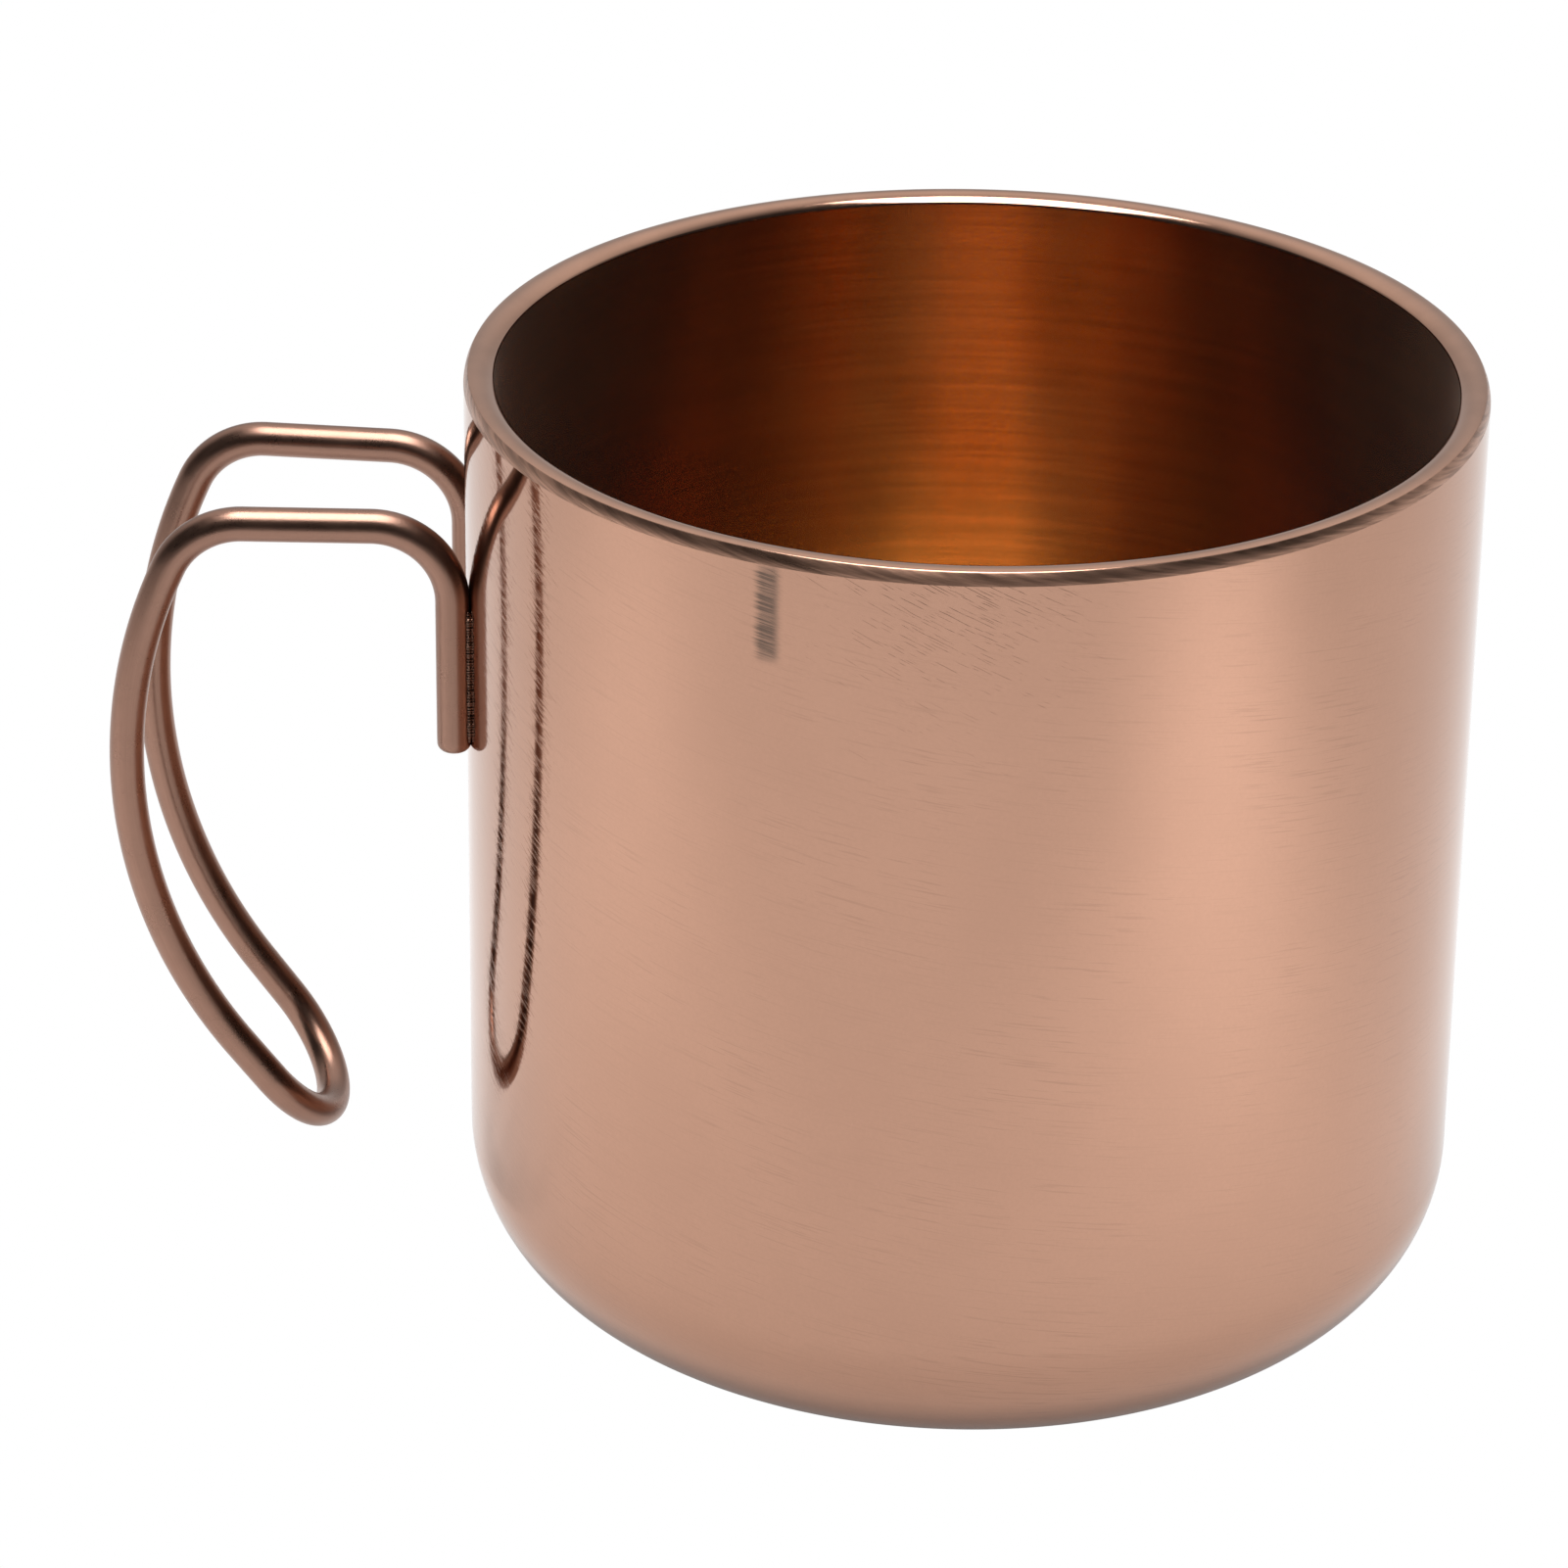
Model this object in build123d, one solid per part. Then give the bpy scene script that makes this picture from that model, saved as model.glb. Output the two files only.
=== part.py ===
"""Double-walled copper mug with a welded wire handle.

Millimetres. The origin is the centre of the foot on the mug's axis, +Z points up to the mouth
and the handle stands on the -X side. The mug is the same on both sides of the XZ plane.
"""
from build123d import *
from math import asin, atan2, cos, degrees, radians, sin, sqrt
import os

# Body, overall
body_diameter = 88.0
body_height = 85.4
corner_radius = 13.3  # outside, between the wall and the foot

# Sheet thicknesses
shell_sheet = 0.5
liner_sheet = 0.5
plate_sheet = 0.5

# Lip: the liner rolls over outwards in a half circle and ends on the top edge of the shell
lip_width = 2.4  # from the inside of the mouth to the outside of the body

# Foot: the shell turns in and up, and the plate closes the hole
foot_width = 2.0  # flat ring that the mug stands on
hem_bend = 1.0  # outside radius of the turned-up edge
hem_height = 2.6
plate_recess = 0.8
plate_bend = 1.0

# Inside of the cup
floor_height = 4.6  # inside floor above the table
floor_corner_radius = 12.4

# Handle: one wire, bent on each side of the XZ plane in the same way
wire_diameter = 3.0
stub_spacing = 17.3  # between the two upright ends, centre to centre
stub_foot_height = 51.8
stub_length = 14.1
stub_end_radius = 0.8
seat_depth = 0.1  # how far the upright ends are flattened where they lie on the wall
splay_angle = 2.6  # each top run turns away from the XZ plane
shoulder_radius = 7.0
shoulder_angle = 89.3
top_run = 11.0
roll_angle = 1.4  # the grips lean together below the top corner
corner_bend_radius = 7.0
corner_bend_angle = 66.1
grip_radius = 46.3
grip_angle = 61.2
lower_run = 4.4

# Welds along both sides of each upright end
weld_half_width = 1.15
weld_end_margin = 1.0  # bare wire below each weld
weld_length = 12.4

body_radius = body_diameter / 2
mouth_radius = body_radius - lip_width
lip_radius = lip_width / 2
seam_height = body_height - lip_radius  # where the liner's edge meets the shell's
wire_radius = wire_diameter / 2

STANDING = (Align.CENTER, Align.CENTER, Align.MIN)


def solid_cylinder(radius, height):
    """A cylinder on the axis that stands on its own origin."""
    return Cylinder(radius, height, align=STANDING)


def turned(*edges):
    """A solid of revolution about Z from a closed half profile of (radius, height) edges."""
    return revolve(Plane.XZ * make_face(edges), Axis.Z)


def outer_shell():
    """Straight drawn wall, rounded into a foot ring whose inner edge is turned up."""
    inside = body_radius - shell_sheet
    corner = (body_radius - corner_radius, corner_radius)
    foot_inner = corner[0] - foot_width
    hem = (foot_inner, hem_bend)
    hem_radius = foot_inner - hem_bend
    return turned(
        Line((body_radius, seam_height), (body_radius, corner_radius)),
        CenterArc(corner, corner_radius, 270, 90),
        Line((corner[0], 0), (foot_inner, 0)),
        CenterArc(hem, hem_bend, 180, 90),
        Polyline(
            (hem_radius, hem_bend),
            (hem_radius, hem_height),
            (hem_radius + shell_sheet, hem_height),
            (hem_radius + shell_sheet, hem_bend),
        ),
        CenterArc(hem, hem_bend - shell_sheet, 180, 90),
        Line((foot_inner, shell_sheet), (corner[0], shell_sheet)),
        CenterArc(corner, corner_radius - shell_sheet, 270, 90),
        Polyline((inside, corner_radius), (inside, seam_height), (body_radius, seam_height)),
    )


def base_plate():
    """Recessed disc that closes the foot, its edge turned up inside the shell's hem."""
    hole_radius = body_radius - corner_radius - foot_width - hem_bend
    bend = (hole_radius - plate_bend, plate_recess + plate_bend)
    inner = hole_radius - plate_sheet
    return turned(
        Line((0, plate_recess), (bend[0], plate_recess)),
        CenterArc(bend, plate_bend, 270, 90),
        Polyline(
            (hole_radius, bend[1]),
            (hole_radius, hem_height),
            (inner, hem_height),
            (inner, bend[1]),
        ),
        CenterArc(bend, plate_bend - plate_sheet, 270, 90),
        Polyline((bend[0], plate_recess + plate_sheet), (0, plate_recess + plate_sheet), (0, plate_recess)),
    )


def inner_liner():
    """Drawn cup whose mouth rolls outwards over the gap and comes down on the shell's edge."""
    outside = mouth_radius + liner_sheet
    corner = (mouth_radius - floor_corner_radius, floor_height + floor_corner_radius)
    lip = (mouth_radius + lip_radius, seam_height)
    under_floor = floor_height - liner_sheet
    return turned(
        Line((0, floor_height), (corner[0], floor_height)),
        CenterArc(corner, floor_corner_radius, 270, 90),
        Line((mouth_radius, corner[1]), (mouth_radius, seam_height)),
        CenterArc(lip, lip_radius, 0, 180),
        Line((body_radius, seam_height), (body_radius - liner_sheet, seam_height)),
        CenterArc(lip, lip_radius - liner_sheet, 0, 180),
        Line((outside, seam_height), (outside, corner[1])),
        CenterArc(corner, floor_corner_radius + liner_sheet, 270, 90),
        Polyline((corner[0], under_floor), (0, under_floor), (0, floor_height)),
    )


def stub_centre():
    """Foot of the centreline of the upright end on the -Y side."""
    reach = body_radius + wire_radius - seat_depth
    half = stub_spacing / 2
    return Vector(-sqrt(reach**2 - half**2), -half, stub_foot_height)


class WireBender:
    """Follows a wire as it is fed straight, bent and rolled, and keeps its centreline."""

    def __init__(self, point, heading, inward):
        self.point = point
        self.heading = heading.normalized()
        self.inward = inward.normalized()
        self.edges = []

    def feed(self, length):
        """A straight run."""
        end = self.point + self.heading * length
        self.edges.append(Edge.make_line(self.point, end))
        self.point = end

    def bend(self, radius, angle):
        """A bend of so many degrees about a centre on the inward side."""
        centre = self.point + self.inward * radius

        def at(turn):
            return centre + (self.heading * sin(turn) - self.inward * cos(turn)) * radius

        turn = radians(angle)
        self.edges.append(Edge.make_three_point_arc(self.point, at(turn / 2), at(turn)))
        self.point = at(turn)
        heading = self.heading * cos(turn) + self.inward * sin(turn)
        self.inward = self.inward * cos(turn) - self.heading * sin(turn)
        self.heading = heading

    def roll(self, angle):
        """Turn the wire about its own line before the next bend."""
        turn = radians(angle)
        side = self.inward.cross(self.heading)
        self.inward = self.inward * cos(turn) + side * sin(turn)


def leg_path():
    """Centreline of the -Y half of the handle, from the upright end down to the lower bend."""
    splay = radians(splay_angle)
    outward = Vector(-cos(splay), -sin(splay), 0)
    wire = WireBender(stub_centre(), Vector(0, 0, 1), outward)
    wire.feed(stub_length)
    wire.bend(shoulder_radius, shoulder_angle)
    wire.feed(top_run)
    wire.roll(roll_angle)
    wire.bend(corner_bend_radius, corner_bend_angle)
    wire.bend(grip_radius, grip_angle)
    wire.feed(lower_run)
    return wire


def lower_bend(leg):
    """The round bend that joins the two legs, tangent to both."""
    lean = asin(leg.heading.Y)
    radius = -leg.point.Y / cos(lean)
    along = Vector(leg.heading.X, 0, leg.heading.Z).normalized()
    centre = Vector(leg.point.X, 0, leg.point.Z) - along * (radius * sin(lean))
    far_end = Vector(leg.point.X, -leg.point.Y, leg.point.Z)
    return Edge.make_three_point_arc(leg.point, centre + along * radius, far_end)


def handle_wire():
    """One round wire: two upright ends on the wall, two top runs, two grips and a lower bend."""
    leg = leg_path()
    mirrored = [edge.mirror(Plane.XZ) for edge in leg.edges]
    path = Wire(leg.edges + [lower_bend(leg)] + mirrored)
    section = Plane(stub_centre(), z_dir=(0, 0, 1)) * Circle(wire_radius)
    wire = sweep(section, path)
    feet = wire.faces().filter_by(Axis.Z).filter_by(GeomType.PLANE)
    wire = fillet(feet.edges(), stub_end_radius)
    return wire - solid_cylinder(body_radius, body_height)


def handle_weld(side):
    """Weld metal in the two grooves between one upright end and the wall; side is -1 or +1."""
    foot = stub_centre()
    reach = sqrt(foot.X**2 + foot.Y**2)
    depth = reach - body_radius
    block = Pos(body_radius, 0, 0) * Box(2 * depth, 2 * weld_half_width, weld_length, align=STANDING)
    wall = solid_cylinder(body_radius, weld_length)
    stub = Pos(reach, 0, 0) * solid_cylinder(wire_radius, weld_length)
    bead = block - wall - stub
    bearing = degrees(atan2(side * abs(foot.Y), foot.X))
    return Pos(0, 0, foot.Z + weld_end_margin) * Rot(0, 0, bearing) * bead


PARTS = {
    "outer_shell": outer_shell,
    "inner_liner": inner_liner,
    "base_plate": base_plate,
    "handle_wire": handle_wire,
    "handle_weld_right": lambda: handle_weld(-1),
    "handle_weld_left": lambda: handle_weld(1),
}

os.makedirs("parts", exist_ok=True)
for name, make in PARTS.items():
    export_step(make(), f"parts/{name}.step")
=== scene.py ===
"""Looks of a double-walled copper mug with a bent wire handle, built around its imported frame.

Metres, in the frame's own axes: +Z up through the mouth, the handle on the -X side, the mug's
foot on z = 0 and its axis on the origin. Every CAD node is replaced by a finer mesh of the same
size, because the wall, the lip and the wire carry sharp reflections.
"""
from math import asin, atan2, ceil, cos, pi, radians, sin, sqrt

import bmesh
import bpy
from mathutils import Matrix, Vector


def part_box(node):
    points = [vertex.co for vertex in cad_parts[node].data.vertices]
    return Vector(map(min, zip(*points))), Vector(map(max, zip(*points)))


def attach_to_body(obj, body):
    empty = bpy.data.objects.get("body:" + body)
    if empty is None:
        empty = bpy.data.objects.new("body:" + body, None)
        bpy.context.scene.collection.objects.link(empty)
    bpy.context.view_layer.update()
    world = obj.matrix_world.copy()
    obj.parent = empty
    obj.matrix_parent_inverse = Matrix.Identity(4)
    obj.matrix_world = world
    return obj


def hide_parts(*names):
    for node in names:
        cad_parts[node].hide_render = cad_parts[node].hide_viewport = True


MM = 0.001
BODY = "root"

# Sizes that the CAD model gives, which the frame's boxes don't show
SHEET = 0.5 * MM
CORNER_RADIUS = 13.3 * MM  # outside, between the wall and the foot
LIP_WIDTH = 2.4 * MM
FOOT_WIDTH = 2.0 * MM
HEM_BEND = 1.0 * MM
HEM_HEIGHT = 2.6 * MM
PLATE_RECESS = 0.8 * MM
PLATE_BEND = 1.0 * MM
FLOOR_HEIGHT = 4.6 * MM
FLOOR_CORNER_RADIUS = 12.4 * MM
WIRE_RADIUS = 1.5 * MM
STUB_SPACING = 17.3 * MM
STUB_FOOT_HEIGHT = 51.8 * MM
STUB_LENGTH = 14.1 * MM
STUB_END_RADIUS = 0.8 * MM
SEAT_DEPTH = 0.1 * MM
SPLAY_ANGLE = 2.6
SHOULDER_RADIUS = 7.0 * MM
SHOULDER_ANGLE = 89.3
TOP_RUN = 11.0 * MM
ROLL_ANGLE = 1.4
CORNER_BEND_RADIUS = 7.0 * MM
CORNER_BEND_ANGLE = 66.1
GRIP_RADIUS = 46.3 * MM
GRIP_ANGLE = 61.2
LOWER_RUN = 4.4 * MM
WELD_END_MARGIN = 1.0 * MM
WELD_LENGTH = 12.4 * MM

# Shape of the lip inside its half round: a ground edge, a low polished crown, an inner roll
GRIND_RADIUS = 2.1 * MM
GRIND_ANGLE = 32
CREASE_RADIUS = 0.2 * MM
CROWN_RADIUS = 2.18 * MM
CROWN_OUTER_ANGLE = 74
CROWN_INNER_ANGLE = 132
ROLL_RADIUS = 0.35 * MM
ROLL_END_ANGLE = 182
LIP_TAPER = 9.0 * MM  # below the seam, over which the inner roll runs back to the mouth's radius

# Weld beads: a small one on each side of an upright wire end, rippled along its length
BEAD_RADIUS = 0.27 * MM
BEAD_OFFSET = 0.82 * MM  # from the middle of the wire end
BEAD_HEIGHT = 0.16 * MM  # its centreline, out of the wall
BEAD_END_SHARE = 0.35  # its size at its ends, as a share of the whole
RIPPLE_PITCH = 0.27 * MM
RIPPLE_HEIGHT = 0.07 * MM

# Mesh density
TURNS = 360
WIRE_SIDES = 40
WIRE_STEP = 0.4 * MM
CAP_RINGS = 7
BEAD_SIDES = 14
RINGS_PER_RIPPLE = 6
SEAT_GAP = 0.004 * MM  # between the flattened wire ends and the wall

# Finishes of the liner's stretches, in the order of its material slots
GROUND = 0
LIP = 1
INSIDE = 2

# Metal colours
ROSE = (0.475, 0.271, 0.191)
AMBER = (0.595, 0.34, 0.138)
SATIN = (0.295, 0.168, 0.124)
# Painted shade: a dark weld colour that stands in for the shade in the grooves between the wire
# ends and the wall
WELD_PAINTED_SHADE = (0.075, 0.04125, 0.02875)
SMUDGE_TINT = (0.17, 0.115, 0.09)

# Polishing smudge under the lip, in millimetres
SMUDGE_X = -16.35
SMUDGE_Z = 80.0
SMUDGE_CORE = 0.40  # half widths: of its full strength, and of the whole
SMUDGE_HALF_WIDTH = 1.30
SMUDGE_HALF_HEIGHT = 4.7
SMUDGE_FADE = 1.3  # at its top and bottom

# Strengths are radiances, with 1 for what the picture shows as white
FLOOR_RADIUS = 3.0
FLOOR_DROP = 0.05 * MM
FLOOR_GLOW = 0.44
FLOOR_SHADE = 0.55
# Painted contact shadow: the floor's glow drops to this value close under the mug, so the metal
# reflects a darker floor there
CONTACT_SHADOW_GLOW = 0.10  # under the mug's rounded corner
CONTACT_SHADOW_INNER = 0.031
CONTACT_SHADOW_OUTER = 0.044
ROOM_BEHIND = 0.62
ROOM_BEHIND_RISE = 1.9  # how many times brighter it gets high up
ROOM_DIM = 0.05
OVERHEAD_RADIANCE = 8.0
OVERHEAD_SIZE = (0.34, 0.58)
OVERHEAD_PLACE = (-0.035, -0.085, 0.70)  # above, a little towards the handle and the front
POOLS = (("right_pool", 51, 2.0), ("left_pool", -72, 1.0))  # name, bearing from -Y, radiance
POOL_REACH = 0.18
POOL_SIZE = (0.16, 0.05)
POOL_SPREAD = 35
POOL_LIGHT_HEIGHT = 0.30
CARD_SIZE = (1.8, 0.75)
CARD_PLACE = (0.0, -0.72, 0.40)
CARD_TARGET = (0.0, 0.0, 0.10)
CARD_SHADE = 0.05
CLOTH_SIZE = (1.8, 0.9)
CLOTH_PLACE = (0.0, -0.71, 0.0005)
CLOTH_SHADE = 0.10

# Where the camera stands, and how it is turned from looking along +Y
CAMERA_DISTANCE = 0.5644  # from the middle of the body
CAMERA_X = -0.0005
CAMERA_ELEVATION = 25.98
CAMERA_YAW = -1.76
CAMERA_PITCH = 25.75
CAMERA_ROLL = 0.705
LENS = 146.02
SENSOR = 36.0

GLOSSY_BOUNCES = 12  # light crosses the cup many times

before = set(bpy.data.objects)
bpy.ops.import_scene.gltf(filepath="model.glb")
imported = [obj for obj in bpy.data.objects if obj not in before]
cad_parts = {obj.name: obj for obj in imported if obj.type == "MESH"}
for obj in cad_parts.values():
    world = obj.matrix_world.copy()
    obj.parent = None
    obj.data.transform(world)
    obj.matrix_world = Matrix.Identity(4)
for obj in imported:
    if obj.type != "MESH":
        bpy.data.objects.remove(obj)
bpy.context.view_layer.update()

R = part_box("outer_shell")[1].x
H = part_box("inner_liner")[1].z
MOUTH_RADIUS = R - LIP_WIDTH
SEAM_HEIGHT = H - LIP_WIDTH / 2


# ---------------------------------------------------------------- turned pieces


class Outline:
    """Half outline of a turned piece, as (radius, height) points with a finish for each stretch.

    A finish is the number of a material slot, and is 0 until another is asked for.
    """

    def __init__(self, *start):
        self.points = [start]
        self.finishes = []
        self.finish = 0

    def to(self, *point, pieces=1):
        """A straight stretch, cut into equal pieces."""
        first = self.points[-1]
        for i in range(1, pieces + 1):
            t = i / pieces
            self.add(first[0] + (point[0] - first[0]) * t, first[1] + (point[1] - first[1]) * t)
        return self

    def arc(self, centre, radius, start, end, pieces):
        """A round stretch; 0 degrees points outwards and 90 up."""
        for i in range(1, pieces + 1):
            a = radians(start + (end - start) * i / pieces)
            self.add(centre[0] + radius * cos(a), centre[1] + radius * sin(a))
        return self

    def add(self, x, z):
        self.points.append((max(x, 0.0), z))
        self.finishes.append(self.finish)

    def use(self, finish):
        """The finish of the stretches that follow."""
        self.finish = finish
        return self


def turn(name, outline, materials, closed=False):
    """A solid of revolution about Z."""
    mesh = bmesh.new()
    rings = []
    points = outline.points[:-1] if closed else outline.points
    for x, z in points:
        if x == 0:
            rings.append([mesh.verts.new((0, 0, z))] * TURNS)
            continue
        ring = []
        for j in range(TURNS):
            a = 2 * pi * j / TURNS
            ring.append(mesh.verts.new((x * cos(a), x * sin(a), z)))
        rings.append(ring)
    for i, finish in enumerate(outline.finishes):
        low = rings[i]
        high = rings[(i + 1) % len(rings)]
        for j in range(TURNS):
            k = (j + 1) % TURNS
            corners = []
            for vert in (low[j], low[k], high[k], high[j]):
                if vert not in corners:
                    corners.append(vert)
            mesh.faces.new(corners).material_index = finish
    return finished(name, mesh, materials)


def finished(name, mesh, materials, sharp_angle=35):
    """Turns a bmesh into a smooth object with outward faces and the given materials."""
    bmesh.ops.recalc_face_normals(mesh, faces=mesh.faces)
    data = bpy.data.meshes.new(name)
    mesh.to_mesh(data)
    mesh.free()
    for material in materials:
        data.materials.append(material)
    data.shade_smooth()
    data.set_sharp_from_angle(angle=radians(sharp_angle))
    piece = bpy.data.objects.new(name, data)
    bpy.context.scene.collection.objects.link(piece)
    return piece


def shell_outline():
    """Wall, rounded corner, foot ring and turned-up hem, then back up the inside."""
    inside = R - SHEET
    corner = (R - CORNER_RADIUS, CORNER_RADIUS)
    hem = (corner[0] - FOOT_WIDTH, HEM_BEND)
    hem_radius = hem[0] - HEM_BEND
    line = Outline(R, SEAM_HEIGHT)
    line.to(R, CORNER_RADIUS, pieces=12).arc(corner, CORNER_RADIUS, 0, -90, 30)
    line.to(hem[0], 0, pieces=2).arc(hem, HEM_BEND, 270, 180, 8)
    line.to(hem_radius, HEM_HEIGHT).to(hem_radius + SHEET, HEM_HEIGHT)
    line.to(hem_radius + SHEET, HEM_BEND).arc(hem, HEM_BEND - SHEET, 180, 270, 6)
    line.to(corner[0], SHEET).arc(corner, CORNER_RADIUS - SHEET, -90, 0, 16)
    return line.to(inside, SEAM_HEIGHT).to(R, SEAM_HEIGHT)


def plate_outline():
    """Recessed disc with its edge turned up."""
    hole = R - CORNER_RADIUS - FOOT_WIDTH - HEM_BEND
    bend = (hole - PLATE_BEND, PLATE_RECESS + PLATE_BEND)
    line = Outline(0, PLATE_RECESS)
    line.to(bend[0], PLATE_RECESS, pieces=14).arc(bend, PLATE_BEND, 270, 360, 8)
    line.to(hole, HEM_HEIGHT).to(hole - SHEET, HEM_HEIGHT).to(hole - SHEET, bend[1])
    line.arc(bend, PLATE_BEND - SHEET, 360, 270, 6)
    return line.to(0, PLATE_RECESS + SHEET, pieces=6)


def lip_stretch(line):
    """From the seam on the outside over the lip to the inside of the mouth.

    Each arc is tangent to the next. Their heights are worked out below the top of the crown.
    """
    grind_end = radians(GRIND_ANGLE)
    crown_start = radians(CROWN_OUTER_ANGLE)
    crown_end = radians(CROWN_INNER_ANGLE)
    to_crease = GRIND_RADIUS - CREASE_RADIUS
    to_crown = CROWN_RADIUS - CREASE_RADIUS
    to_roll = CROWN_RADIUS - ROLL_RADIUS
    crown_height = H - CROWN_RADIUS
    crease_height = crown_height + to_crown * sin(crown_start)
    grind = (R - GRIND_RADIUS, crease_height - to_crease * sin(grind_end))
    crease = (grind[0] + to_crease * cos(grind_end), crease_height)
    crown = (crease[0] - to_crown * cos(crown_start), crown_height)
    roll = (crown[0] + to_roll * cos(crown_end), crown[1] + to_roll * sin(crown_end))
    crease_middle = (GRIND_ANGLE + CROWN_OUTER_ANGLE) / 2
    line.use(GROUND).arc(grind, GRIND_RADIUS, 0, GRIND_ANGLE, 12)
    line.arc(crease, CREASE_RADIUS, GRIND_ANGLE, crease_middle, 4)
    line.use(LIP).arc(crease, CREASE_RADIUS, crease_middle, CROWN_OUTER_ANGLE, 4)
    line.arc(crown, CROWN_RADIUS, CROWN_OUTER_ANGLE, CROWN_INNER_ANGLE, 24)
    line.arc(roll, ROLL_RADIUS, CROWN_INNER_ANGLE, ROLL_END_ANGLE, 8)
    return line.use(INSIDE).to(MOUTH_RADIUS, SEAM_HEIGHT - LIP_TAPER, pieces=4)


def liner_outline():
    """Cup with a rounded floor and a lip, from the hidden underside to the floor inside."""
    outside = MOUTH_RADIUS + SHEET
    corner = (MOUTH_RADIUS - FLOOR_CORNER_RADIUS, FLOOR_HEIGHT + FLOOR_CORNER_RADIUS)
    hollow = (R - LIP_WIDTH / 2, SEAM_HEIGHT)
    line = Outline(0, FLOOR_HEIGHT - SHEET).use(INSIDE)
    line.to(corner[0], FLOOR_HEIGHT - SHEET, pieces=4)
    line.arc(corner, FLOOR_CORNER_RADIUS + SHEET, -90, 0, 16).to(outside, SEAM_HEIGHT)
    line.arc(hollow, LIP_WIDTH / 2 - SHEET, 180, 0, 12).to(R, SEAM_HEIGHT)
    lip_stretch(line)
    line.to(MOUTH_RADIUS, corner[1], pieces=14).arc(corner, FLOOR_CORNER_RADIUS, 0, -90, 28)
    return line.to(0, FLOOR_HEIGHT, pieces=14)


# ---------------------------------------------------------------- handle


class Bender:
    """Follows the wire's centreline as it is fed straight, bent and rolled."""

    def __init__(self, point, heading, inward):
        self.point = point
        self.heading = heading.normalized()
        self.inward = inward.normalized()
        self.points = [point.copy()]

    def feed(self, length):
        """A straight run."""
        steps = ceil(length / WIRE_STEP)
        for i in range(1, steps + 1):
            self.points.append(self.point + self.heading * (length * i / steps))
        self.point = self.points[-1]

    def bend(self, radius, angle):
        """A bend about a centre on the inward side."""
        centre = self.point + self.inward * radius
        whole = radians(angle)
        steps = ceil(radius * whole / WIRE_STEP)
        for i in range(1, steps + 1):
            a = whole * i / steps
            self.points.append(centre + (self.heading * sin(a) - self.inward * cos(a)) * radius)
        self.point = self.points[-1]
        heading = self.heading * cos(whole) + self.inward * sin(whole)
        self.inward = self.inward * cos(whole) - self.heading * sin(whole)
        self.heading = heading

    def roll(self, angle):
        """Turns the wire about its own line before the next bend."""
        a = radians(angle)
        self.inward = self.inward * cos(a) + self.inward.cross(self.heading) * sin(a)


def stub_centre():
    """Foot of the centreline of the upright end on the -Y side."""
    reach = R + WIRE_RADIUS - SEAT_DEPTH
    half = STUB_SPACING / 2
    return Vector((-sqrt(reach**2 - half**2), -half, STUB_FOOT_HEIGHT))


def wire_line():
    """Centreline of the whole handle, from the foot of one upright end to the other's."""
    splay = radians(SPLAY_ANGLE)
    leg = Bender(stub_centre(), Vector((0, 0, 1)), Vector((-cos(splay), -sin(splay), 0)))
    leg.feed(STUB_LENGTH)
    leg.bend(SHOULDER_RADIUS, SHOULDER_ANGLE)
    leg.feed(TOP_RUN)
    leg.roll(ROLL_ANGLE)
    leg.bend(CORNER_BEND_RADIUS, CORNER_BEND_ANGLE)
    leg.bend(GRIP_RADIUS, GRIP_ANGLE)
    leg.feed(LOWER_RUN)
    lean = asin(leg.heading.y)
    radius = -leg.point.y / cos(lean)
    along = Vector((leg.heading.x, 0, leg.heading.z)).normalized()
    centre = Vector((leg.point.x, 0, leg.point.z)) - along * (radius * sin(lean))
    half_turn = pi / 2 + lean
    steps = ceil(2 * half_turn * radius / WIRE_STEP)
    bend = []
    for i in range(1, steps):
        a = -half_turn + 2 * half_turn * i / steps
        bend.append(centre + along * (radius * cos(a)) + Vector((0, radius * sin(a), 0)))
    mirrored = [Vector((p.x, -p.y, p.z)) for p in reversed(leg.points)]
    return leg.points + bend + mirrored


def ringed(mesh, centre, side, up, radius, sides):
    """A ring of vertices about a point."""
    ring = []
    for j in range(sides):
        a = 2 * pi * j / sides
        ring.append(mesh.verts.new(centre + (side * cos(a) + up * sin(a)) * radius))
    return ring


def bridge(mesh, rings):
    """Quads between each ring and the next."""
    for low, high in zip(rings, rings[1:]):
        n = len(low)
        for j in range(n):
            mesh.faces.new((low[j], low[(j + 1) % n], high[(j + 1) % n], high[j]))


def wire_rings(line):
    """(centre, side, up, radius, length so far) of each ring, with the two ends rounded."""
    headings = []
    for i in range(len(line)):
        before = line[max(i - 1, 0)]
        after = line[min(i + 1, len(line) - 1)]
        headings.append((after - before).normalized())
    side = headings[0].orthogonal().normalized()
    frames = []
    length = 0.0
    for i, heading in enumerate(headings):
        side = (side - heading * side.dot(heading)).normalized()
        if i:
            length += (line[i] - line[i - 1]).length
        frames.append((line[i], side.copy(), heading.cross(side), heading, length))
    rings = []
    flat = WIRE_RADIUS - STUB_END_RADIUS
    for end, sign in ((0, 1), (-1, -1)):
        centre, across, up, heading, at = frames[end]
        cap = [(flat / 2, 0.0)]
        for i in range(CAP_RINGS):
            a = pi / 2 * i / CAP_RINGS
            cap.append((flat + STUB_END_RADIUS * sin(a), STUB_END_RADIUS * (1 - cos(a))))
        cap_rings = []
        for radius, depth in cap:
            shift = sign * depth
            cap_rings.append((centre + heading * shift, across, up, radius, at + shift))
        rings.append(cap_rings)
    middle = []
    for centre, across, up, heading, at in frames:
        if STUB_END_RADIUS <= at <= frames[-1][4] - STUB_END_RADIUS:
            middle.append((centre, across, up, WIRE_RADIUS, at))
    return rings[0] + middle + rings[1][::-1]


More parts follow.
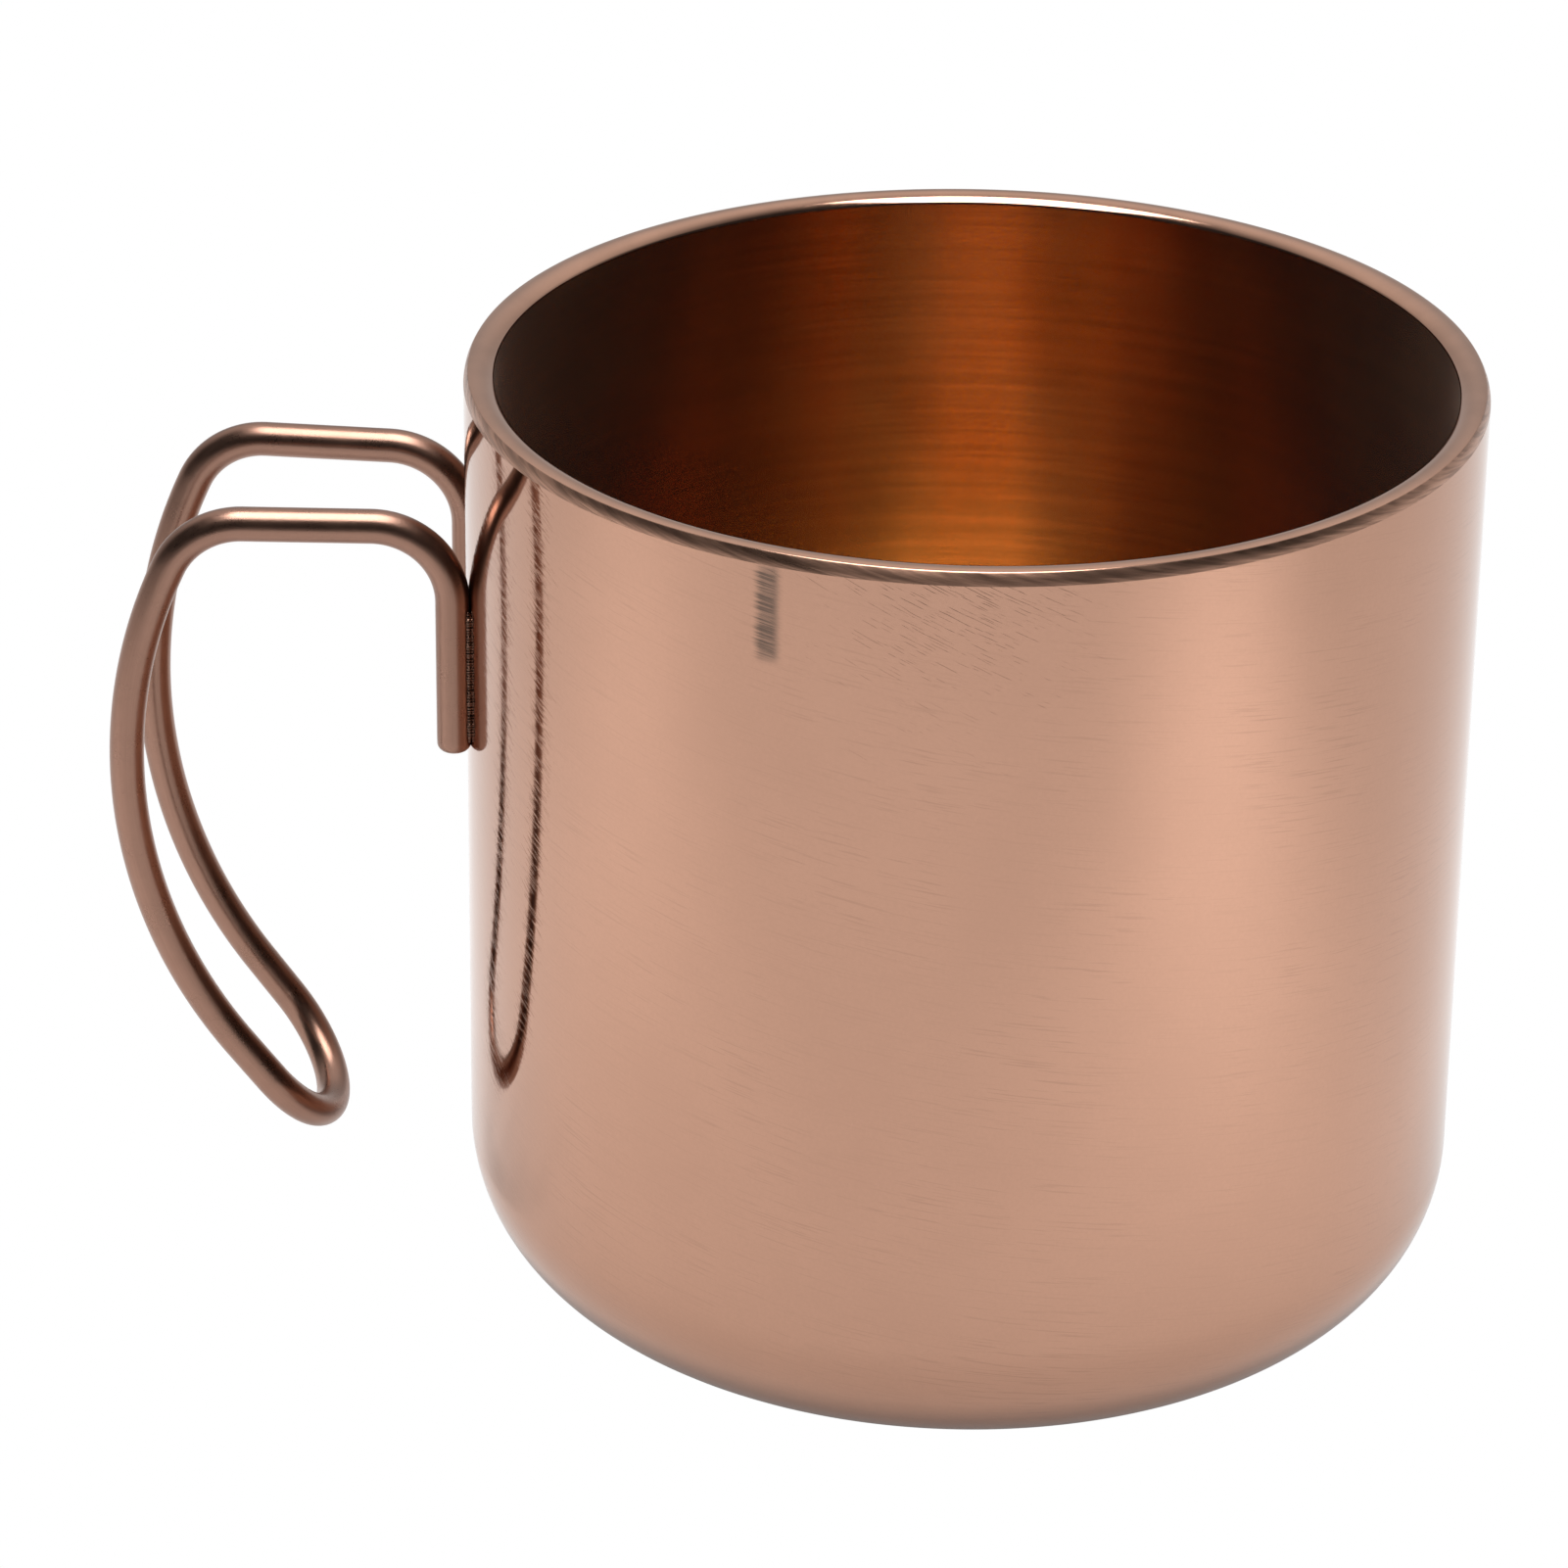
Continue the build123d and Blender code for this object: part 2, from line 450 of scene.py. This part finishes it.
def unwrap(mesh, rings, lengths):
    """A UV map with the length along the wire in millimetres, and the turn round it."""
    wrap = mesh.loops.layers.uv.new("wrap")
    turns = {}
    for ring in rings:
        for j, vert in enumerate(ring):
            turns[vert] = j / WIRE_SIDES
    for face in mesh.faces:
        closes = max(turns[loop.vert] for loop in face.loops) > 0.9
        for loop in face.loops:
            v = turns[loop.vert]
            if closes and v < 0.1:
                v = 1.0
            loop[wrap].uv = (lengths[loop.vert] / MM, v)


def handle(materials):
    """The bent wire, with its upright ends flattened where they lie on the wall."""
    mesh = bmesh.new()
    rings = []
    lengths = {}
    seat = R + SEAT_GAP
    for centre, side, up, radius, at in wire_rings(wire_line()):
        ring = ringed(mesh, centre, side, up, radius, WIRE_SIDES)
        for vert in ring:
            reach = sqrt(vert.co.x**2 + vert.co.y**2)
            if reach < seat:
                vert.co.x *= seat / reach
                vert.co.y *= seat / reach
            lengths[vert] = at
        rings.append(ring)
    bridge(mesh, rings)
    mesh.faces.new(rings[0])
    mesh.faces.new(rings[-1])
    unwrap(mesh, rings, lengths)
    return finished("handle_wire_bent", mesh, materials, 60)


def weld(name, side, materials):
    """Two rippled beads in the grooves between one upright end and the wall."""
    foot = stub_centre()
    bearing = atan2(side * abs(foot.y), foot.x)
    outward = Vector((cos(bearing), sin(bearing), 0))
    across = Vector((-sin(bearing), cos(bearing), 0))
    steps = round(WELD_LENGTH / RIPPLE_PITCH) * RINGS_PER_RIPPLE
    mesh = bmesh.new()
    for edge in (-1, 1):
        rings = []
        for i in range(steps + 1):
            t = i / steps
            phase = (i % RINGS_PER_RIPPLE) / RINGS_PER_RIPPLE
            wobble = (sin(i * 0.37 + edge) * 0.02 + sin(i * 0.11 + 2 * side) * 0.03) * MM
            taper = min(1.0, BEAD_END_SHARE + 12 * min(t, 1 - t))
            radius = (BEAD_RADIUS + RIPPLE_HEIGHT * sin(pi * phase) + wobble) * taper
            offset = edge * (BEAD_OFFSET + 0.5 * wobble)
            rise = Vector((0, 0, foot.z + WELD_END_MARGIN + WELD_LENGTH * t))
            centre = outward * (R + BEAD_HEIGHT) + across * offset + rise
            rings.append(ringed(mesh, centre, outward, across, radius, BEAD_SIDES))
        bridge(mesh, rings)
        mesh.faces.new(rings[0])
        mesh.faces.new(rings[-1])
    return finished(name, mesh, materials, 80)


# ---------------------------------------------------------------- materials


class Nodes:
    """Short calls for making and joining shader nodes."""

    def __init__(self, tree):
        self.tree = tree

    def add(self, kind, **settings):
        node = self.tree.nodes.new(kind)
        for key, value in settings.items():
            setattr(node, key, value)
        return node

    def join(self, source, target):
        self.tree.links.new(source, target)

    def math(self, operation, a, b=None, c=None):
        """A math node on sockets or numbers."""
        node = self.add("ShaderNodeMath", operation=operation)
        for socket, value in zip(node.inputs, (a, b, c)):
            if value is None:
                continue
            if isinstance(value, (int, float)):
                socket.default_value = value
            else:
                self.join(value, socket)
        return node.outputs[0]

    def spread(self, value, low, high, to_low=0.0, to_high=1.0):
        """Maps a stretch of values to another, smoothly."""
        node = self.add("ShaderNodeMapRange", interpolation_type="SMOOTHSTEP")
        self.join(value, node.inputs["Value"])
        node.inputs["From Min"].default_value = low
        node.inputs["From Max"].default_value = high
        node.inputs["To Min"].default_value = to_low
        node.inputs["To Max"].default_value = to_high
        return node.outputs["Result"]

    def combine(self, x, y, z):
        node = self.add("ShaderNodeCombineXYZ")
        for socket, value in zip(node.inputs, (x, y, z)):
            self.join(value, socket)
        return node.outputs[0]

    def separate(self, vector):
        node = self.add("ShaderNodeSeparateXYZ")
        self.join(vector, node.inputs[0])
        return node.outputs[0], node.outputs[1], node.outputs[2]

    def white_to_camera(self, shader, kind, output):
        """Shows plain white to the camera by a glow of that kind, and the shader to all else."""
        rays = self.add("ShaderNodeLightPath")
        glow = self.add(kind)
        glow.inputs["Color"].default_value = (1, 1, 1, 1)
        mix = self.add("ShaderNodeMixShader")
        self.join(rays.outputs["Is Camera Ray"], mix.inputs[0])
        self.join(shader.outputs[0], mix.inputs[1])
        self.join(glow.outputs[0], mix.inputs[2])
        self.join(mix.outputs[0], output.inputs["Surface"])

    def noise(self, vector, scale=1.0, detail=2.0, rough=0.5):
        node = self.add("ShaderNodeTexNoise")
        self.join(vector, node.inputs["Vector"])
        node.inputs["Scale"].default_value = scale
        node.inputs["Detail"].default_value = detail
        node.inputs["Roughness"].default_value = rough
        return node.outputs["Fac"]

    def object_axes(self):
        """Object coordinates in millimetres, as three sockets and one vector."""
        metres = self.add("ShaderNodeTexCoord").outputs["Object"]
        whole = self.add("ShaderNodeVectorMath", operation="SCALE")
        self.join(metres, whole.inputs[0])
        whole.inputs["Scale"].default_value = 1 / MM
        x, y, z = self.separate(whole.outputs[0])
        return x, y, z, whole.outputs[0]

    def turned_lines(self, axes, length, width, slant=0.0, detail=1.0):
        """Noise drawn out round the axis into lines of that length and width in millimetres."""
        x, y, z, _ = axes
        angle = self.math("ARCTAN2", y, x)
        squares = self.math("ADD", self.math("MULTIPLY", x, x), self.math("MULTIPLY", y, y))
        reach = self.math("SQRT", squares)
        climb = self.math("MULTIPLY_ADD", angle, slant * R / MM, self.math("ADD", z, reach))
        along = 1 / length
        stretched = self.combine(
            self.math("MULTIPLY", x, along),
            self.math("MULTIPLY", y, along),
            self.math("MULTIPLY", climb, 1 / width),
        )
        return self.noise(stretched, detail=detail)

    def bump(self, height, depth):
        """A bump of that depth in metres."""
        node = self.add("ShaderNodeBump")
        node.inputs["Strength"].default_value = 1.0
        node.inputs["Distance"].default_value = depth
        self.join(height, node.inputs["Height"])
        return node.outputs["Normal"]

    def tint(self, factor, first, second):
        """A colour between two, by a factor; each is a colour or a socket."""
        node = self.add("ShaderNodeMix", data_type="RGBA", clamp_factor=True)
        self.join(factor, node.inputs["Factor"])
        for name, colour in (("A", first), ("B", second)):
            if isinstance(colour, tuple):
                node.inputs[name].default_value = (*colour, 1)
            else:
                self.join(colour, node.inputs[name])
        return node.outputs["Result"]


class Metal(Nodes):
    """A metal material."""

    def __init__(self, name):
        self.material = bpy.data.materials.new(name)
        self.material.use_nodes = True
        super().__init__(self.material.node_tree)
        self.shader = self.tree.nodes["Principled BSDF"]
        self.shader.inputs["Metallic"].default_value = 1.0

    def made(self, colour, roughness, normal):
        """Joins the main sockets and gives the material."""
        self.join(colour, self.shader.inputs["Base Color"])
        self.join(roughness, self.shader.inputs["Roughness"])
        self.join(normal, self.shader.inputs["Normal"])
        return self.material

    def brushed_round(self, colour, roughness, normal, anisotropic):
        """The same, with highlights drawn out across brush marks that run round the axis."""
        tangent = self.add("ShaderNodeTangent", direction_type="RADIAL", axis="Z")
        self.join(tangent.outputs[0], self.shader.inputs["Tangent"])
        self.shader.inputs["Anisotropic"].default_value = anisotropic
        self.shader.inputs["Anisotropic Rotation"].default_value = 0.25
        return self.made(colour, roughness, normal)


def scaled(colour, factor):
    return tuple(channel * factor for channel in colour)


def smudge(n, axes, strokes):
    """A soft upright mark under the lip at the front left, frayed by the strokes."""
    x, y, z, _ = axes
    fray = n.math("ADD", strokes, -0.5)
    across = n.math("ABSOLUTE", n.math("ADD", n.math("SUBTRACT", x, SMUDGE_X), fray))
    wide = n.spread(across, SMUDGE_CORE, SMUDGE_HALF_WIDTH, 1.0, 0.0)
    up = n.math("ABSOLUTE", n.math("SUBTRACT", z, SMUDGE_Z))
    tall = n.spread(up, SMUDGE_HALF_HEIGHT - SMUDGE_FADE, SMUDGE_HALF_HEIGHT, 1.0, 0.0)
    front = n.spread(y, -1.0, 0.0, 1.0, 0.0)
    streaks = n.spread(strokes, 0.40, 0.62, 0.60, 1.0)
    return n.math("MULTIPLY", n.math("MULTIPLY", front, streaks), n.math("MULTIPLY", wide, tall))


def wall_finish():
    """Polished rose copper with fine slanted brush marks, handling marks and one smudge."""
    n = Metal("copper_wall")
    axes = n.object_axes()
    steep = n.turned_lines(axes, 2.2, 0.20, slant=0.50, detail=1.0)
    shallow = n.turned_lines(axes, 5.0, 0.16, slant=0.16, detail=2.0)
    patches = n.noise(axes[3], 0.07, 3.0, 0.6)
    grain = n.noise(axes[3], 3.0, 2.0, 0.6)
    marked = n.spread(patches, 0.45, 0.62)
    handled = n.math("MULTIPLY_ADD", marked, 0.7, 0.3)
    scuffs = n.math("MULTIPLY", n.spread(shallow, 0.55, 0.70), handled)
    mark = smudge(n, axes, shallow)
    mottle = n.math("MULTIPLY_ADD", grain, 0.4, n.math("MULTIPLY", patches, 0.6))
    shade = n.math("SUBTRACT", n.spread(mottle, 0.35, 0.65), n.math("MULTIPLY", scuffs, 1.1))
    colour = n.tint(shade, scaled(ROSE, 0.975), scaled(ROSE, 1.025))
    colour = n.tint(n.math("MULTIPLY", scuffs, 0.14), colour, scaled(ROSE, 0.4))
    colour = n.tint(mark, colour, SMUDGE_TINT)
    rough = n.math("MULTIPLY_ADD", marked, 0.02, 0.055)
    rough = n.math("MULTIPLY_ADD", mark, 0.15, rough)
    steep_marks = n.spread(steep, 0.50, 0.70)
    height = n.math("MULTIPLY_ADD", steep_marks, 1.4, n.math("MULTIPLY", shallow, 0.7))
    return n.brushed_round(colour, rough, n.bump(height, 0.0017 * MM), 0.9)


def ground_finish():
    """Edge of the lip where the seam was ground off, scratched and duller than the wall."""
    n = Metal("copper_ground")
    axes = n.object_axes()
    scratches = n.turned_lines(axes, 4.0, 0.17, slant=0.14, detail=2.0)
    strokes = n.turned_lines(axes, 12.0, 0.4, slant=0.06, detail=2.0)
    colour = n.tint(n.spread(scratches, 0.35, 0.65), scaled(ROSE, 0.66), scaled(ROSE, 1.05))
    rough = n.spread(strokes, 0.3, 0.7, 0.26, 0.40)
    height = n.math("MULTIPLY_ADD", scratches, 0.8, n.math("MULTIPLY", strokes, 1.4))
    return n.brushed_round(colour, rough, n.bump(height, 0.026 * MM), 0.7)


def lip_finish():
    """Polished lip with faint lines round it."""
    n = Metal("copper_lip")
    axes = n.object_axes()
    lines = n.turned_lines(axes, 14.0, 0.12)
    patches = n.noise(axes[3], 0.25, 3.0)
    colour = n.tint(n.spread(patches, 0.35, 0.65), scaled(ROSE, 0.97), scaled(ROSE, 1.05))
    rough = n.spread(patches, 0.3, 0.7, 0.09, 0.14)
    return n.brushed_round(colour, rough, n.bump(lines, 0.0015 * MM), 0.4)


def inside_finish():
    """Inside of the cup, brushed round the axis, its colour deeper than the outside's."""
    n = Metal("copper_inside")
    axes = n.object_axes()
    hairlines = n.turned_lines(axes, 16.0, 0.22, detail=2.0)
    strokes = n.turned_lines(axes, 30.0, 0.6, detail=2.0)
    patches = n.noise(axes[3], 0.08, 3.0)
    mix = n.math("MULTIPLY_ADD", hairlines, 0.5, n.math("MULTIPLY", strokes, 0.5))
    colour = n.tint(n.spread(mix, 0.38, 0.62), scaled(AMBER, 0.88), scaled(AMBER, 1.07))
    rough = n.spread(patches, 0.3, 0.7, 0.14, 0.18)
    height = n.math("MULTIPLY_ADD", hairlines, 0.7, n.math("MULTIPLY", strokes, 0.8))
    n.shader.inputs["Sheen Weight"].default_value = 0.035
    n.shader.inputs["Sheen Roughness"].default_value = 0.6
    return n.brushed_round(colour, rough, n.bump(height, 0.0028 * MM), 1.0)


def base_finish():
    """Satin disc under the foot, turned in circles."""
    n = Metal("copper_base")
    axes = n.object_axes()
    rings = n.turned_lines(axes, 40.0, 0.25, detail=3.0)
    patches = n.noise(axes[3], 0.1, 3.0)
    colour = n.tint(n.spread(rings, 0.3, 0.7), scaled(ROSE, 0.92), scaled(ROSE, 1.08))
    rough = n.spread(patches, 0.3, 0.7, 0.24, 0.34)
    return n.brushed_round(colour, rough, n.bump(rings, 0.012 * MM), 0.7)


def wire_finish():
    """Satin wire with fine lines drawn along its length and a slightly mottled skin."""
    n = Metal("copper_wire")
    length, share, _ = n.separate(n.add("ShaderNodeUVMap", uv_map="wrap").outputs[0])
    turn_angle = n.math("MULTIPLY", share, 2 * pi)
    skin = n.combine(
        n.math("MULTIPLY", length, 0.12),
        n.math("MULTIPLY", n.math("COSINE", turn_angle), 11.0),
        n.math("MULTIPLY", n.math("SINE", turn_angle), 11.0),
    )
    lines = n.noise(skin, detail=2.0)
    axes = n.object_axes()
    grain = n.noise(axes[3], 6.0, 3.0, 0.6)
    patches = n.noise(axes[3], 0.35, 3.0)
    mix = n.math("MULTIPLY_ADD", patches, 0.6, n.math("MULTIPLY", lines, 0.4))
    colour = n.tint(n.spread(mix, 0.35, 0.65), scaled(SATIN, 0.95), scaled(SATIN, 1.05))
    mottle = n.math("MULTIPLY_ADD", grain, 0.5, n.math("MULTIPLY", patches, 0.5))
    rough = n.spread(mottle, 0.35, 0.65, 0.27, 0.34)
    height = n.math("MULTIPLY_ADD", grain, 0.25, lines)
    return n.made(colour, rough, n.bump(height, 0.003 * MM))


def weld_finish():
    """Weld metal, mottled at random between a painted-shade dark and the wire's colour; the dark
    stands in for the shade in the grooves beside the wire ends.
    """
    n = Metal("copper_weld")
    axes = n.object_axes()
    grain = n.noise(axes[3], 5.0, 3.0, 0.6)
    # Painted shade: the weld's colour runs down to a dark that stands in for the shade in the
    # groove
    colour = n.tint(n.spread(grain, 0.3, 0.7), WELD_PAINTED_SHADE, scaled(SATIN, 0.9))
    rough = n.spread(grain, 0.3, 0.7, 0.18, 0.32)
    return n.made(colour, rough, n.bump(grain, 0.01 * MM))


# ---------------------------------------------------------------- pieces


def attach(piece, node):
    """A piece that rides on the mug's body and stands for that CAD node."""
    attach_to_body(piece, BODY)
    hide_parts(node)


def build_mug():
    shell = turn("outer_shell_drawn", shell_outline(), [wall_finish()], closed=True)
    attach(shell, "outer_shell")
    liner_finishes = [ground_finish(), lip_finish(), inside_finish()]
    liner = turn("inner_liner_drawn", liner_outline(), liner_finishes)
    attach(liner, "inner_liner")
    plate = turn("base_plate_pressed", plate_outline(), [base_finish()])
    attach(plate, "base_plate")
    attach(handle([wire_finish()]), "handle_wire")
    bead = weld_finish()
    attach(weld("handle_weld_right_beads", -1, [bead]), "handle_weld_right")
    attach(weld("handle_weld_left_beads", 1, [bead]), "handle_weld_left")


# ---------------------------------------------------------------- studio


def area_light(name, size, radiance, spread=180):
    """A rectangular light of that even radiance, which the camera doesn't see; it points down."""
    data = bpy.data.lights.new(name, "AREA")
    data.shape = "RECTANGLE"
    data.size, data.size_y = size
    data.energy = radiance * pi * size[0] * size[1]
    data.spread = radians(spread)
    light = bpy.data.objects.new(name, data)
    light.visible_camera = False
    bpy.context.scene.collection.objects.link(light)
    return light


def floor_pool(name, bearing, radiance):
    """A narrow light that brightens the floor along one bearing from the mug, 0 being -Y."""
    light = area_light(name, POOL_SIZE, radiance, POOL_SPREAD)
    a = radians(bearing)
    light.location = (POOL_REACH * sin(a), -POOL_REACH * cos(a), POOL_LIGHT_HEIGHT)
    light.rotation_euler = (0, 0, a - pi / 2)


def paper(name, shade):
    """A matt grey material, with its nodes and its shader."""
    material = bpy.data.materials.new(name)
    material.use_nodes = True
    n = Nodes(material.node_tree)
    shader = n.tree.nodes["Principled BSDF"]
    shader.inputs["Base Color"].default_value = (shade, shade, shade, 1)
    shader.inputs["Roughness"].default_value = 1.0
    shader.inputs["Specular IOR Level"].default_value = 0.0
    return material, n, shader


def card(name, size, matrix, shade):
    """A flat grey card outside the picture, which the camera doesn't see."""
    mesh = bmesh.new()
    bmesh.ops.create_grid(mesh, x_segments=1, y_segments=1, size=0.5)
    for vert in mesh.verts:
        vert.co.x *= size[0]
        vert.co.y *= size[1]
    piece = finished(name, mesh, [paper(name, shade)[0]])
    piece.visible_camera = False
    piece.matrix_world = matrix


def floor():
    """A pale floor, plain white to the camera; reflections see it darker close under the mug,
    where a painted contact shadow lowers its glow.
    """
    mesh = bmesh.new()
    bmesh.ops.create_circle(mesh, cap_ends=True, segments=96, radius=FLOOR_RADIUS)
    material, n, shader = paper("floor_paper", FLOOR_SHADE)
    reach = n.add("ShaderNodeVectorMath", operation="LENGTH")
    n.join(n.add("ShaderNodeTexCoord").outputs["Object"], reach.inputs[0])
    # Painted contact shadow: the glow falls from the floor's value to the contact value close
    # under the mug
    glow = n.spread(reach.outputs["Value"], CONTACT_SHADOW_INNER, CONTACT_SHADOW_OUTER, CONTACT_SHADOW_GLOW, FLOOR_GLOW)
    shader.inputs["Emission Color"].default_value = (1, 1, 1, 1)
    n.join(glow, shader.inputs["Emission Strength"])
    n.white_to_camera(shader, "ShaderNodeEmission", n.tree.nodes["Material Output"])
    piece = finished("floor", mesh, [material])
    piece.location.z = -FLOOR_DROP


def surroundings():
    """The room: plain white to the camera, and to the metal bright behind and dim elsewhere."""
    world = bpy.data.worlds.new("room")
    bpy.context.scene.world = world
    world.use_nodes = True
    n = Nodes(world.node_tree)
    n.tree.nodes.clear()
    output = n.add("ShaderNodeOutputWorld")
    _, y, z = n.separate(n.add("ShaderNodeTexCoord").outputs["Generated"])
    behind = n.spread(y, -0.1, 0.65)
    high = n.spread(z, 0.25, 0.75, 1.0, ROOM_BEHIND_RISE)
    strength = n.math("MULTIPLY_ADD", n.math("MULTIPLY", behind, high), ROOM_BEHIND, ROOM_DIM)
    lit = n.add("ShaderNodeBackground")
    n.join(strength, lit.inputs["Strength"])
    n.white_to_camera(lit, "ShaderNodeBackground", output)


def studio():
    floor()
    surroundings()
    overhead = area_light("overhead_box", OVERHEAD_SIZE, OVERHEAD_RADIANCE)
    overhead.location = OVERHEAD_PLACE
    for name, bearing, radiance in POOLS:
        floor_pool(name, bearing, radiance)
    heading = Vector(CARD_TARGET) - Vector(CARD_PLACE)
    facing = heading.to_track_quat("-Z", "Y").to_matrix().to_4x4()
    card("dark_card", CARD_SIZE, Matrix.Translation(CARD_PLACE) @ facing, CARD_SHADE)
    card("dark_cloth", CLOTH_SIZE, Matrix.Translation(CLOTH_PLACE), CLOTH_SHADE)


# ---------------------------------------------------------------- camera


def camera():
    data = bpy.data.cameras.new("camera")
    data.lens = LENS
    data.sensor_width = SENSOR
    data.clip_start = 0.01
    data.clip_end = 20.0
    cam = bpy.data.objects.new("camera", data)
    bpy.context.scene.collection.objects.link(cam)
    rise = radians(CAMERA_ELEVATION)
    stand = Vector((CAMERA_X, -CAMERA_DISTANCE * cos(rise), H / 2 + CAMERA_DISTANCE * sin(rise)))
    cam.matrix_world = (
        Matrix.Translation(stand)
        @ Matrix.Rotation(radians(-CAMERA_YAW), 4, "Z")
        @ Matrix.Rotation(radians(90 - CAMERA_PITCH), 4, "X")
        @ Matrix.Rotation(radians(CAMERA_ROLL), 4, "Z")
    )
    bpy.context.scene.camera = cam


build_mug()
studio()
camera()
bpy.context.scene.view_settings.view_transform = "Standard"
bpy.context.scene.cycles.glossy_bounces = GLOSSY_BOUNCES
